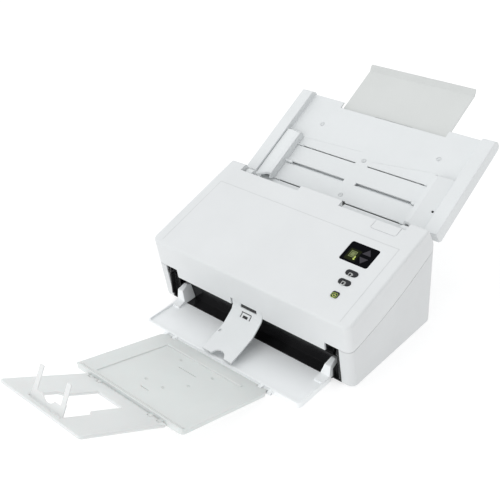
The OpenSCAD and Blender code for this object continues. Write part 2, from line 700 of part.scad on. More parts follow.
// paper guides: a fence, a cap that reaches to the rail and a foot through the wide slot
guide_s0 = 39;
guide_s1 = 122.8;
foot_x = 98;
rack_h0 = -5.4;
rack_h1 = -3;
gear_module = 1;
gear_teeth = 18;
gear_r = gear_module * gear_teeth / 2;
guide_outline = [[guide_s0 + 5, 0.3], [guide_s1, 0.3], [guide_s1, guide_h - 4], [guide_s1 - 4, guide_h],
                 [guide_s0 + 6, guide_h], [guide_s0, guide_h - 5]];
module guide() {
    side_prism(guide_outline, guide_inner, guide_inner + 2);
    intersection() {
        translate([guide_inner, guide_s0, guide_h - 5.5]) rotate([-90, 0, 0])
            linear_extrude(guide_s1 - guide_s0)
            polygon([[0.5, -5.5], [6, -5.5], [27, 0], [27, 2.2], [25, 2.2], [25, 1.2], [5.5, -3.6], [0.5, -3.6]]);
        side_prism(guide_outline, guide_inner, guide_inner + 27);
    }
    // stiffening web and the foot that reaches the rack
    translate([guide_inner - 11, slot_rows[1] - 1.6, 0.4]) cube([13, 3.2, 2.2]);
    translate([foot_x, slot_rows[1] - 1.9, rack_h1 - 0.2]) cube([5, 3.8, 4.4]);
    // thin keels that run in the narrow slots
    for (s = [slot_rows[0], slot_rows[2]]) {
        translate([foot_x, s - 0.6, -1.6]) cube([5, 1.2, 2.6]);
        translate([foot_x, s - 0.6, 0.4]) cube([11, 1.2, 1.4]);
    }
}
module guide_left() color(casing_white) place() on_path() mirror([1, 0, 0]) guide();
module guide_right() color(casing_white) place() on_path() difference() {
    guide();
    translate([guide_hole[0], guide_hole[1], 0]) cube([guide_hole[2], guide_hole[2], guide_h + 1]);
}

// rack and pinion that keep the two guides centred
function involute(r, a) = r * [cos(a) + a * PI / 180 * sin(a), sin(a) - a * PI / 180 * cos(a)];
pressure = 20;
gear_base = gear_r * cos(pressure);
tip_r = gear_r + 0.85;
root_r = gear_r - 1.15;
backlash = 0.2;
function roll(r) = sqrt(pow(max(r, gear_base) / gear_base, 2) - 1) * 180 / PI;
half_tooth = 90 / gear_teeth - backlash / gear_r * 90 / PI + (tan(pressure) * 180 / PI - pressure);
flank_steps = 4;
// one flank of a tooth, from the base circle to the tip
flank = [for (i = [0 : flank_steps])
    let (r = gear_base + (tip_r - gear_base) * i / flank_steps,
         p = involute(gear_base, roll(r)),
         a = half_tooth - atan2(p[1], p[0]))
    norm(p) * [cos(a), sin(a)]];
function turned(points, a) = [for (p = points) [p[0] * cos(a) - p[1] * sin(a), p[0] * sin(a) + p[1] * cos(a)]];
function tooth(a) = turned(concat([root_r * [cos(half_tooth), -sin(half_tooth)]],
                                  [for (p = flank) [p[0], -p[1]]],
                                  [for (i = [flank_steps : -1 : 0]) flank[i]],
                                  [root_r * [cos(half_tooth), sin(half_tooth)]]), a);
module pinion_shape() polygon([for (i = [0 : gear_teeth - 1]) each tooth(i * 360 / gear_teeth)]);
module guide_pinion() color([0.85, 0.86, 0.87]) place() on_path(slot_rows[1])
    difference() {
        translate([0, 0, rack_h0]) linear_extrude(rack_h1 - rack_h0) pinion_shape();
        translate([0, 0, -10]) cylinder(r = 3.05, h = 12);
    }
pitch = PI * gear_module;
// rack teeth point towards -y, with the pitch line on y = 0
function rack_tooth(x) = let (half = pitch / 4 - backlash / 2, t = tan(pressure)) [
    [x - half - 1.1 * t, 1.1], [x - half + 0.85 * t, -0.85],
    [x + half - 0.85 * t, -0.85], [x + half + 1.1 * t, 1.1]];
rack_teeth = 29;
module rack_shape(x0)
    polygon(concat([[-foot_x - 5, 4.5]], [[-foot_x - 5, 1.1]],
                   [for (i = [rack_teeth : -1 : 0]) each rack_tooth(x0 - i * pitch)],
                   [[x0 + 3, 1.1], [x0 + 3, 4.5]]));
module rack(x0) {
    translate([0, gear_r, rack_h0]) linear_extrude(rack_h1 - rack_h0 - 0.3) rack_shape(x0);
    translate([-foot_x - 5, -1.8, rack_h0]) cube([5, gear_r + 5, rack_h1 - rack_h0 - 0.3]);
}
// with 18 teeth a gap of the pinion faces each rack, so a rack tooth stands on the centre line
rack_phase = pitch;
module rack_left() color([0.85, 0.86, 0.87]) place() on_path(slot_rows[1]) rack(rack_phase);
module rack_right() color([0.85, 0.86, 0.87]) place() on_path(slot_rows[1])
    rotate([0, 0, 180]) rack(rack_phase);

extension_start = 168;
extension_end = 266;
extension_top = -5.6;
extension_t = 2;
module input_extension() color(frosted) place() on_path() difference() {
    union() {
        rounded_span(extension_half, extension_start, extension_end, extension_top - extension_t, extension_top, 3);
        // the end turns up as a lip for the longest sheets
        translate([0, extension_end - 4, extension_top - extension_t / 2]) rotate([38, 0, 0])
            rounded_span(extension_half, 0, 10.5, -1, 1, 2);
    }
    translate([-30, extension_start + 14, extension_top - 0.6]) cube([60, 1.2, 2]);
    translate([-30, extension_start + 20, extension_top - 0.6]) cube([60, 1.2, 2]);
}

// ---- output side ----
output_front = -51;
output_rear = 9;
output_bottom = -foot_h + 0.2;
output_top = 2.8;
knuckle_x = 86;
first_pivot = [-55.5, 2.6];
pin_r = 1.25;
arm_peg = [21, 17];
arm_peg_r = 2;
arm_inner = 113.5;
arm_side = [[-6, output_bottom], [9, output_bottom], [9.4, 3.5], [24.8, 3.5], [24.8, 23], [19, 25], [8, 20.6], [5.6, 7],
            [-6, 5]];
arm_section = [[arm_inner, -5], [output_half, -5], [output_half, 21], [125.5, 26], [120.5, 26], [arm_inner, 5]];
module output_tray() color(casing_white) place() difference() {
    union() {
        rounded_span(output_half, output_front, output_rear, output_bottom, output_top, 5);
        // raised front edge and sides
        difference() {
            rounded_span(output_half, output_front, output_rear, output_top - 0.1, output_top + 2.6, 5);
            rounded_span(output_half - 2, output_front + 3, output_rear + 30, output_top - 1, output_top + 5, 4);
        }
        // arms that reach back into the casing and hook on pegs
        both_sides() intersection() {
            side_prism(arm_side, arm_inner, output_half);
            translate([0, 60, 0]) rotate([90, 0, 0]) linear_extrude(80) polygon(arm_section);
        }
        // knuckles of the first extension's hinge
        both_sides() for (x = [knuckle_x - 1, 70]) {
            rod(x, x + 5, 2.4, first_pivot[0], first_pivot[1]);
            span(x, x + 5, first_pivot[0], output_front + 1, first_pivot[1] - 2.4, first_pivot[1] + 2.3);
        }
    }
    both_sides() rod(120.4, 130, arm_peg_r + 0.05, arm_peg[0], arm_peg[1]);
    both_sides() rod(60, 95, pin_r, first_pivot[0], first_pivot[1]);
}
module tray_pegs() color(steel) place() both_sides()
    rod(120.7, frame_x + frame_t, arm_peg_r, arm_peg[0], arm_peg[1]);
module output_pins() color(steel) place() both_sides()
    rod(70, knuckle_x + 4, pin_r, first_pivot[0], first_pivot[1]);

// the exit flap hangs behind the front face and rests on the stack of scanned sheets
flap_half = 24.3;
flap_lip = [[6.4, 53.2], [7, 44], [4.4, 38], [-1.2, 33.4], [-12, 25.2], [-31, 18.9], [-52, 12.2]];
flap_t = 2;
clip_half = 7.6;
clip_top = 40.7;
notch_r = 10.5;
function flap_normal(i) =
    let (d = unit(flap_lip[min(i + 1, len(flap_lip) - 1)] - flap_lip[max(i - 1, 0)])) [-d[1], d[0]];
// the sheet of the flap, t thick, closed along its underside
function flap_sheet(t) = concat(flap_lip,
    [for (i = [len(flap_lip) - 1 : -1 : 0]) flap_lip[i] + flap_normal(i) * t]);
module exit_flap() color(casing_white) place() difference() {
    union() {
        side_prism(flap_sheet(flap_t), -flap_half, flap_half);
        rod(-flap_half, flap_half, 3.2, hinge_y, hinge_z);
        rod(-30, 30, 1.5, hinge_y, hinge_z);
        // ribs along the two edges
        both_sides() side_prism(flap_sheet(4.4), flap_half - 3.4, flap_half - 2);
    }
    // window under the cover's edge
    span(-10.5, 15.5, -5, 8.4, 44.6, 50.6);
    // snap clip: a slit on three sides round a latch hole
    span(-clip_half, clip_half + 0.8, -5, 9, clip_top - 1.3, clip_top);
    for (x = [-clip_half, clip_half - 0.6]) span(x, x + 1.4, -9, 9, 34.6, clip_top - 0.1);
    span(-3.8, 4, -9, 9, 34.8, 37.2);
    // square hole at the left edge
    span(-22.6, -19.4, -24, -20.6, 14, 30);
    // finger notch
    translate([1.5, -54.5, 0]) cylinder(r = notch_r, h = 40);
}

// first extension: drawn flat with its root at the origin, then raised
first_tilt = 17.1;
module on_first() translate([0, first_pivot[0], first_pivot[1]]) rotate([-first_tilt, 0, 0]) children();
first_bottom = -1.6;
first_top = 2.4;
second_pivot = [-first_len - 2.6, -0.4];
first_marks = [[-25, -34], [28, -34], [24, -70], [9, -96], [-16, -98]];
module output_extension() color(frosted) place() on_first() difference() {
    union() {
        rounded_span(first_half, -first_len, -4.6, first_bottom, first_top, 6);
        difference() {
            rounded_span(first_half, -first_len, -4.6, first_top - 0.1, first_top + 1.2, 6);
            rounded_span(first_half - 26.5, -first_len + 9, -22.5, first_top - 1, first_top + 4, 2);
        }
        // raised lip along the outer edge
        rounded_span(first_half - 1, -first_len, -first_len + 3.2, first_top, first_top + 2.2, 1.5);
        // hinge knuckles, with one long barrel between the knuckles of the desk tray
        both_sides() for (x = [[0, 69], [76.4, knuckle_x - 2.4]]) {
            rod(x[0], x[1], 2.3);
            span(x[0], x[1], -6, 0, -1.6, 2.3);
        }
        // knuckles on the outer edge
        both_sides() for (x = [40, 54]) {
            rod(x, x + 5, 2.1, second_pivot[0], second_pivot[1]);
            span(x, x + 5, second_pivot[0], -first_len + 1, second_pivot[1] - 1.6, second_pivot[1] + 2.1);
        }
    }
    both_sides() rod(70, 90, pin_r + 0.05, 0, 0);
    both_sides() rod(38, 62, pin_r, second_pivot[0], second_pivot[1]);
    // the recess carries shallow round marks, a narrow slit and a short slot near its front
    for (p = first_marks) translate([p[0], p[1], first_top - 0.5]) cylinder(r = 1.8, h = 3);
    translate([-14.5, -48.5, first_bottom - 1]) cube([29.5, 0.9, 12]);
    translate([-8, -114.2, first_bottom - 1]) cube([13, 1.6, 12]);
}
function first_world(s, h) = [first_pivot[0] + s * cos(first_tilt) + h * sin(first_tilt),
                              first_pivot[1] - s * sin(first_tilt) + h * cos(first_tilt)];
outer_axis = first_world(second_pivot[0], second_pivot[1]);
outer_tilt = 32;
module on_outer() translate([0, outer_axis[0], outer_axis[1]]) rotate([-outer_tilt, 0, 0]) children();
module extension_pins() color(steel) place() both_sides()
    rod(40, 59, pin_r, outer_axis[0], outer_axis[1]);

outer_h0 = -1.6;
outer_h1 = 1.6;
stop_s = -outer_len + 11;
prong_len = 35.5;
prong_in = 18.8;
prong_out = 25.2;
// half of the opening in the outer extension, from its root to the seat of the paper stop
opening_half = [[20, -21], [20, stop_s + prong_len + 5], [26, stop_s + prong_len + 0.5],
                [27, stop_s + prong_len - 3], [27, stop_s - 4]];
module outer_extension() color(frosted) place() on_outer() difference() {
    union() {
        rounded_span(outer_half, -outer_len, -4.4, outer_h0, outer_h1, 4);
        both_sides() {
            for (x = [[0, 39.4], [45.4, 53.6], [59.5, outer_half - 0.5]]) {
                rod(x[0], x[1], 2.1);
                span(x[0], x[1], -6, 0, outer_h0, outer_h1);
            }
            // small runner under the free corner
            translate([outer_half - 8, -outer_len + 16, outer_h0 - 1.6]) cylinder(r = 3, h = 2);
        }
    }
    both_sides() rod(40, 60, pin_r + 0.05);
    // large opening, wider towards the paper stop that folds into it
    translate([0, 0, -5]) linear_extrude(10)
        polygon(concat(opening_half, [for (i = [len(opening_half) - 1 : -1 : 0]) [-opening_half[i][0], opening_half[i][1]]]));
    rod(-31, 31, 1.3, stop_s);
}
stop_t = 1.3;
module paper_stop() color(frosted) place() on_outer() translate([0, stop_s, 0]) {
    rod(-30.5, 30.5, 1.25);
    rotate([90, 0, 0]) translate([0, 0, -stop_t / 2]) linear_extrude(stop_t) {
        difference() {
            translate([-26, 0]) square([52, 14]);
            translate([0, 16]) circle(11);
            for (sx = [-1, 1]) translate([sx * 14, 14]) square([14, 8], center = true);
        }
        for (sx = [-1, 1]) translate([sx * (prong_in + prong_out) / 2, prong_len / 2])
            square([prong_out - prong_in, prong_len], center = true);
    }
}

lower_case();
rear_cover();
foot_pads();
case_screws();
exit_frame();
side_frame_left();
side_frame_right();
shaft_bearings();
tray_pins();
cover_pins();
lower_chute();
lower_scan_module();
lower_scan_glass();
drive_motor();
motor_pulley();
drive_belt();
feed_shaft();
feed_tyre();
transport_shaft();
transport_tyres();
exit_shaft();
exit_tyres();
main_board();
usb_port();
power_jack();
top_cover();
display_window();
lcd_panel();
up_key();
down_key();
function_button();
scan_button();
power_button();
key_board();
release_tab();
upper_chute();
upper_scan_module();
upper_scan_glass();
separation_holder();
separation_pad();
transport_pinch_shaft();
transport_pinch_rollers();
exit_pinch_shaft();
exit_pinch_rollers();
tray_bed();
tray_back();
guide_left();
guide_right();
guide_pinion();
rack_left();
rack_right();
input_extension();
output_tray();
tray_pegs();
output_pins();
exit_flap();
output_extension();
extension_pins();
outer_extension();
paper_stop();
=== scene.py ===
"""Looks of the sheet fed document scanner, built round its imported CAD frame.

Lengths are in metres, apart from those given to case, path, cover and first: millimetres.
"""
import json
import math

import bmesh
import bpy
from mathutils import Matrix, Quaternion, Vector
from mathutils.bvhtree import BVHTree

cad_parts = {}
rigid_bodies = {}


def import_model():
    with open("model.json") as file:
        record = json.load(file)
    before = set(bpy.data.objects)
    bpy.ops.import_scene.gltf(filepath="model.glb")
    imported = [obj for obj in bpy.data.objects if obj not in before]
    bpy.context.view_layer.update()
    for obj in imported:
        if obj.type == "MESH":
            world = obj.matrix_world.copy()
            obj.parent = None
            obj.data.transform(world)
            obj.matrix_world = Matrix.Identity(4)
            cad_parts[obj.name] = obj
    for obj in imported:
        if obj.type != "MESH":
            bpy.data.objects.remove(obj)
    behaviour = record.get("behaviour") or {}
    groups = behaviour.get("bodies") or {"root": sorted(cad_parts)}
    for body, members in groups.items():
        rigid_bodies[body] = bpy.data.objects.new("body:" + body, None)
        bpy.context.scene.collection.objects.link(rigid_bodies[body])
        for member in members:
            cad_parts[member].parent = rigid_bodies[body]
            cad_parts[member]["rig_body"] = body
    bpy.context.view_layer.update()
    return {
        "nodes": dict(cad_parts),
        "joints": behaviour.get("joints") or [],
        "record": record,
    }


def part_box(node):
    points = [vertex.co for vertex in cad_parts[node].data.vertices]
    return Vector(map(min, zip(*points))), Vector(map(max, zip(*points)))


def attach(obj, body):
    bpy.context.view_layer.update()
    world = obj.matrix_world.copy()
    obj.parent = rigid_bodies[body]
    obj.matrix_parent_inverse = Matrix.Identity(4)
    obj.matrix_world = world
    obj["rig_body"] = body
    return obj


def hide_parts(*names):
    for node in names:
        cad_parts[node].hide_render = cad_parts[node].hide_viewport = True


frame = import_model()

MM = 0.001
joints = {joint["name"]: joint for joint in frame["joints"]}
slots = {part["node"]: part["material_slot"] for part in frame["record"]["subparts"]}

# ---- the object's own planes, worked out from the frame ----
CASE = Vector((0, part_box("top_cover")[0].y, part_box("lower_case")[0].z))
CASE_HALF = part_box("lower_case")[1].x
CASE_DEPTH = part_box("lower_case")[1].y - CASE.y
FRONT_HEIGHT = 93.7 * MM
FRONT_LEAN = 11.3 * MM  # how far behind its top edge the front's foot is
COVER_SLOPE = math.radians(16.75)
KNEE = (CASE_DEPTH, 110 * MM)  # where the back starts to lean forward
REAR_TOP_Y = 161 * MM
PATH_POINT = (0, 150, 93.8)  # on the paper bed
FIRST_TILT = math.radians(-17.1)


def plane(origin, along, up):
    """Turns (x, s, h) in millimetres into a point: x across, s along the plane, h above it."""
    across = Vector((1, 0, 0))
    return lambda x, s, h=0.0: origin + across * (x * MM) + along * (s * MM) + up * (h * MM)


def tilted(angle):
    """The directions along and out of a plane that rises by angle towards the back."""
    c, s = math.cos(angle), math.sin(angle)
    return Vector((0, c, s)), Vector((0, -s, c))


slide_axis = Vector(joints["input_extension_slide"]["axis"])
PATH_TILT = math.atan2(slide_axis.z, slide_axis.y)
case = plane(CASE, Vector((0, 1, 0)), Vector((0, 0, 1)))
path = plane(case(*PATH_POINT), *tilted(PATH_TILT))
cover = plane(CASE + Vector((0, 0, FRONT_HEIGHT)), *tilted(COVER_SLOPE))
first = plane(Vector(joints["output_extension_fold"]["pos_m"]), *tilted(FIRST_TILT))


# ---- node trees ----
class Tree:
    """Short calls for building a material's nodes."""

    def __init__(self, name):
        self.material = bpy.data.materials.new(name)
        self.material.use_nodes = True
        self.nodes = self.material.node_tree.nodes
        self.links = self.material.node_tree.links
        self.nodes.clear()
        self.position = self.add("TexCoord")["Object"]

    def add(self, kind, settings=None, **inputs):
        node = self.nodes.new("ShaderNode" + kind)
        for key, value in (settings or {}).items():
            setattr(node, key, value)
        for key, value in inputs.items():
            self.put(node.inputs[key.replace("_", " ")], value)
        return node.outputs

    def put(self, socket, value):
        if isinstance(value, bpy.types.NodeSocket):
            self.links.new(value, socket)
        elif isinstance(value, bpy.types.bpy_prop_collection):
            self.links.new(value[0], socket)
        else:
            socket.default_value = value

    def noise(self, scale, detail=2.0, rough=0.55):
        return self.add("TexNoise", Vector=self.position, Scale=scale, Detail=detail,
                        Roughness=rough)["Fac"]

    def span(self, value, low, high, from_low=0.0, from_high=1.0):
        node = self.nodes.new("ShaderNodeMapRange")
        for socket, v in zip(node.inputs, (value, from_low, from_high, low, high)):
            self.put(socket, v)
        return node.outputs[0]

    def math(self, operation, a, b=0.0):
        node = self.nodes.new("ShaderNodeMath")
        node.operation = operation
        self.put(node.inputs[0], a)
        self.put(node.inputs[1], b)
        return node.outputs[0]

    def mix(self, factor, a, b):
        node = self.nodes.new("ShaderNodeMix")
        node.data_type = "RGBA"
        for socket, v in zip((node.inputs[0], node.inputs[6], node.inputs[7]), (factor, a, b)):
            self.put(socket, v)
        return node.outputs[2]

    def edges(self, radius):
        """1 on edges sharper than radius can round, 0 on flat faces, and the rounded normal."""
        rounded = self.add("Bevel", {"samples": 4}, Radius=radius)[0]
        node = self.nodes.new("ShaderNodeVectorMath")
        node.operation = "DOT_PRODUCT"
        self.put(node.inputs[0], rounded)
        self.put(node.inputs[1], self.add("NewGeometry")["Normal"])
        return self.span(node.outputs["Value"], 1.0, 0.0, 0.8, 1.0), rounded

    def bump(self, strength, depth, height, **normal):
        """The normal of a surface whose relief is depth millimetres."""
        return self.add("Bump", Strength=strength, Distance=depth * MM, Height=height, **normal)[0]

    def surface(self, **inputs):
        """Ends the tree with a principled surface and gives the material."""
        shader = self.add("BsdfPrincipled", **inputs)
        self.links.new(shader[0], self.nodes.new("ShaderNodeOutputMaterial").inputs[0])
        return self.material


def rgba(colour):
    return (*colour[:3], 1.0)


def lit(colour, factor):
    return rgba([min(1.0, c * factor) for c in colour])


def moulded(name, colour, rough=0.42, grain=2400.0, depth=0.5, round_edges=0.35, **extra):
    """Moulded plastic: fine spark-eroded grain, faint flow mottling, slightly glossier edges
    lightened by a painted highlight.
    """
    t = Tree(name)
    edge, normal = t.edges(round_edges * MM)
    mottle = t.noise(14.0, 4.0)
    tone = t.mix(t.span(mottle, 0.0, 1.0, 0.3, 0.7), lit(colour, 0.975), lit(colour, 1.012))
    # painted highlight: the colour is lightened along the edges
    tone = t.mix(t.math("MULTIPLY", edge, 0.35), tone, lit(colour, 1.06))
    fine = t.noise(grain, 3.0, 0.6)
    bump = t.bump(depth, 0.02, fine, Normal=normal)
    gloss = t.math("ADD", t.span(t.noise(90.0), rough - 0.04, rough + 0.05, 0.3, 0.7),
                   t.span(fine, -0.03, 0.03))
    gloss = t.math("SUBTRACT", gloss, t.math("MULTIPLY", edge, 0.06))
    return t.surface(Base_Color=tone, Roughness=gloss, Normal=bump, **extra)


def metal(name, colour, rough=0.28, lines=(1.0, 40.0, 40.0), grain=60.0):
    """Turned or rolled metal, with fine lines that run along the stretched direction."""
    t = Tree(name)
    edge, normal = t.edges(0.2 * MM)
    stretched = t.add("Mapping", Vector=t.position, Scale=lines)[0]
    streaks = t.add("TexNoise", Vector=stretched, Scale=grain, Detail=5.0, Roughness=0.7)["Fac"]
    tone = t.mix(t.span(streaks, 0.0, 1.0, 0.25, 0.75), lit(colour, 0.8), lit(colour, 1.08))
    # painted highlight: the colour is lightened along the edges
    tone = t.mix(t.math("MULTIPLY", edge, 0.5), tone, lit(colour, 1.25))
    gloss = t.span(streaks, rough - 0.08, rough + 0.12, 0.2, 0.8)
    bump = t.bump(0.25, 0.01, streaks, Normal=normal)
    return t.surface(Base_Color=tone, Roughness=gloss, Metallic=1.0, Normal=bump)


def spangled(name, colour):
    """Galvanised sheet, with the crystal pattern of its zinc."""
    t = Tree(name)
    edge, normal = t.edges(0.2 * MM)
    cells = t.add("TexVoronoi", Vector=t.position, Scale=140.0)
    grey = t.add("RGBToBW", Color=cells["Color"])[0]
    tone = t.mix(t.span(grey, 0.0, 1.0, 0.2, 0.8), lit(colour, 0.82), lit(colour, 1.1))
    # painted highlight: the colour is lightened along the edges
    tone = t.mix(t.math("MULTIPLY", edge, 0.5), tone, lit(colour, 1.3))
    gloss = t.span(grey, 0.3, 0.5)
    bump = t.bump(0.2, 0.01, t.noise(900.0, 4.0), Normal=normal)
    return t.surface(Base_Color=tone, Roughness=gloss, Metallic=0.9, Normal=bump)


def rubbery(name, colour):
    """Soft rubber with a chalky bloom and pitted grain."""
    t = Tree(name)
    edge, normal = t.edges(0.3 * MM)
    bloom = t.noise(220.0, 5.0, 0.65)
    tone = t.mix(t.span(bloom, 0.0, 0.6, 0.45, 0.75), rgba(colour), lit(colour, 2.2))
    # painted highlight: the colour is lightened along the edges
    tone = t.mix(t.math("MULTIPLY", edge, 0.4), tone, lit(colour, 2.6))
    pits = t.noise(3200.0, 2.0, 0.7)
    bump = t.bump(0.6, 0.03, pits, Normal=normal)
    gloss = t.span(bloom, 0.62, 0.85)
    return t.surface(Base_Color=tone, Roughness=gloss, Normal=bump, Specular_IOR_Level=0.3)


def board(name, colour):
    """Circuit board: solder mask over copper traces, with tinned pads."""
    t = Tree(name)
    black, white, tin = (0, 0, 0, 1), (1, 1, 1, 1), (0.55, 0.55, 0.5, 1)
    bricks = t.add("TexBrick", {"offset": 0.37, "squash": 0.7}, Vector=t.position, Scale=190.0,
                   Mortar_Size=0.035, Color1=black, Color2=black, Mortar=white)["Color"]
    pads = t.add("TexVoronoi", Vector=t.position, Scale=330.0)["Distance"]
    traces = t.add("RGBToBW", Color=bricks)[0]
    tone = t.mix(t.math("MULTIPLY", traces, 0.5), rgba(colour), lit(colour, 2.6))
    pad = t.math("LESS_THAN", pads, 0.12)
    tone = t.mix(pad, tone, tin)
    bump = t.bump(0.4, 0.03, traces)
    return t.surface(Base_Color=tone, Metallic=t.math("MULTIPLY", pad, 0.9),
                     Roughness=t.span(t.noise(400.0), 0.2, 0.4), Normal=bump)


def clear(name, colour, rough=0.03):
    """Glass plate: see-through, with a tinted body and a faint smear."""
    t = Tree(name)
    smear = t.noise(45.0, 5.0, 0.7)
    gloss = t.span(smear, rough, rough + 0.12, 0.45, 0.8)
    return t.surface(Base_Color=rgba(colour), Roughness=gloss, IOR=1.5, Transmission_Weight=1.0)


def printed(name, colour, glow=0.0):
    """Pad-printed ink, slightly worn."""
    t = Tree(name)
    worn = t.noise(900.0, 4.0, 0.7)
    tone = t.mix(t.span(worn, 0.0, 0.5, 0.5, 0.8), rgba(colour), lit(colour, 0.7))
    extra = dict(Emission_Color=rgba(colour), Emission_Strength=glow) if glow else {}
    return t.surface(Base_Color=tone, Roughness=t.span(worn, 0.3, 0.6), **extra)


WHITE = (0.745, 0.76, 0.768)
MILKY = dict(Subsurface_Weight=0.25, Subsurface_Radius=(0.004, 0.005, 0.005),
             Subsurface_Scale=1.0)
finish = {
    "casing": moulded("casing plastic", WHITE),
    "casing_side": moulded("casing side plastic", (0.70, 0.715, 0.722)),
    "tray_white": moulded("tray plastic", (0.76, 0.78, 0.788), rough=0.45),
    "frosted": moulded("frosted plastic", (0.735, 0.755, 0.745), rough=0.38, depth=0.3, **MILKY),
    "frosted_dark": moulded("thin frosted plastic", (0.765, 0.775, 0.77), rough=0.36, depth=0.3,
                            **MILKY),
    "black_plastic": moulded("black plastic", (0.010, 0.010, 0.011), rough=0.2, depth=0.12),
    "black_gloss": moulded("black acrylic", (0.0015, 0.0018, 0.003), rough=0.16, depth=0.02,
                           round_edges=0.3, Specular_IOR_Level=0.03),
    "button_grey": moulded("button plastic", (0.012, 0.013, 0.016), rough=0.35,
                           Specular_IOR_Level=0.3),
    "key_grey": moulded("key plastic", (0.034, 0.031, 0.040), rough=0.3, depth=0.1,
                        Specular_IOR_Level=0.2),
    "rubber": rubbery("roller rubber", (0.035, 0.035, 0.038)),
    "steel": metal("turned steel", (0.58, 0.59, 0.61)),
    "zinc_sheet": spangled("galvanised sheet", (0.60, 0.61, 0.62)),
    "bearing": moulded("bearing plastic", (0.62, 0.58, 0.47), rough=0.5),
    "gear_white": moulded("acetal", (0.74, 0.75, 0.75), rough=0.35),
    "glass": clear("scanning glass", (0.80, 0.92, 0.90)),
    "board": board("circuit board", (0.02, 0.12, 0.05)),
    "cork": rubbery("separation pad rubber", (0.23, 0.10, 0.06)),
    "lcd": moulded("display glass", (0.14, 0.17, 0.05), rough=0.2, depth=0.05),
}
# two pieces whose tone differs from the rest of their slot: the output tray is lighter, painted
# light that makes up for the casing's shade over it, and the input extension has a plastic tone of
# its own
own_tone_and_painted_light = {
    "output_tray": moulded("output tray plastic with painted light", (0.93, 0.95, 0.96), rough=0.45),
    "input_extension": moulded("input extension plastic", (0.66, 0.675, 0.665), rough=0.38,
                               depth=0.3),
}
look = {node: own_tone_and_painted_light.get(node, finish[slot]) for node, slot in slots.items()}
for node, thing in frame["nodes"].items():
    thing.data.materials.clear()
    thing.data.materials.append(look[node])


# ---- mesh tools ----
def mesh_of(node):
    """A joined, closed copy of a CAD node's mesh."""
    bm = bmesh.new()
    bm.from_mesh(frame["nodes"][node].data)
    bmesh.ops.remove_doubles(bm, verts=bm.verts, dist=1e-6)
    return bm


def flatten(bm, angle=0.4):
    """Joins the triangles of each flat face."""
    bmesh.ops.dissolve_degenerate(bm, edges=bm.edges, dist=2e-6)
    bmesh.ops.dissolve_limit(bm, angle_limit=math.radians(angle), verts=bm.verts, edges=bm.edges)


def smooth(bm, angle):
    """Smooth faces, with every edge over angle kept sharp."""
    for face in bm.faces:
        face.smooth = True
    for edge in bm.edges:
        edge.smooth = edge.is_manifold and edge.calc_face_angle(0) < math.radians(angle)


def make(name, bm, material, angle=32):
    """Turns bm into an object with one material."""
    bm.normal_update()
    smooth(bm, angle)
    mesh = bpy.data.meshes.new(name)
    bm.to_mesh(mesh)
    bm.free()
    mesh.materials.append(material)
    thing = bpy.data.objects.new(name, mesh)
    bpy.context.scene.collection.objects.link(thing)
    return thing


def stand_in(name, bm, node, angle=32):
    """Puts a piece made from bm in the place of a CAD node, on its body and in its slot."""
    thing = make(name, bm, look[node], angle)
    thing.modifiers.new("normals", "WEIGHTED_NORMAL").keep_sharp = True
    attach(thing, frame["nodes"][node]["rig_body"])
    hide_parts(node)


def detail(name, bm, node, slot, material=None):
    """Adds a piece made from bm, on the body of a CAD node."""
    thing = make(name, bm, material or finish[slot])
    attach(thing, frame["nodes"][node]["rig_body"])


def balls(points, radius, normals, steps=8):
    """The convex hull of a ball at every point, as a closed mesh."""
    samples = [Vector(n).normalized() for n in normals]
    for i in range(-steps // 2, steps // 2 + 1):
        lat = math.pi * i / steps
        count = max(1, round(2 * steps * math.cos(lat)))
        samples += [Vector((math.cos(lat) * math.cos(2 * math.pi * k / count),
                            math.cos(lat) * math.sin(2 * math.pi * k / count), math.sin(lat)))
                    for k in range(count)]
    bm = bmesh.new()
    for p in points:
        for n in samples:
            bm.verts.new(p + n * radius)
    hull = bmesh.ops.convex_hull(bm, input=bm.verts)
    spare = set(hull["geom_interior"] + hull["geom_unused"])
    bmesh.ops.delete(bm, geom=list(spare), context="VERTS")
    bmesh.ops.remove_doubles(bm, verts=bm.verts, dist=1e-6)
    return bm


def common(a, b):
    """What two closed meshes share."""
    things = []
    for bm in (a, b):
        mesh = bpy.data.meshes.new("work")
        bmesh.ops.triangulate(bm, faces=bm.faces)
        bm.to_mesh(mesh)
        bm.free()
        things.append(bpy.data.objects.new("work", mesh))
        bpy.context.scene.collection.objects.link(things[-1])
    modifier = things[0].modifiers.new("boolean", "BOOLEAN")
    modifier.operation = "INTERSECT"
    modifier.object = things[1]
    modifier.solver = "MANIFOLD"
    result = bmesh.new()
    result.from_object(things[0], bpy.context.evaluated_depsgraph_get())
    for thing in things:
        mesh = thing.data
        bpy.data.objects.remove(thing)
        bpy.data.meshes.remove(mesh)
    return result


# ---- casing shells ----
EDGE_R = 3.2 * MM
CORNER_R = 9 * MM
PANEL_HALF = 142.5 * MM
PANEL_REAR = 120.5 * MM
SIDE_DROP = 0.34 * MM
REAR_DROP = 0.42 * MM
SHRINK = 0.01 * MM  # keeps the rounded shells inside the CAD ones


def meet(a, b):
    """Where two lines (normal y, normal z, offset) cross."""
    det = a[0] * b[1] - a[1] * b[0]
    return (a[2] * b[1] - a[1] * b[2]) / det, (a[0] * b[2] - a[2] * b[0]) / det


def line(p, q, inside):
    """The line through p and q, moved to its left by inside."""
    dy, dz = q[0] - p[0], q[1] - p[1]
    length = math.hypot(dy, dz)
    n = (-dz / length, dy / length)
    return n[0], n[1], n[0] * p[0] + n[1] * p[1] + inside


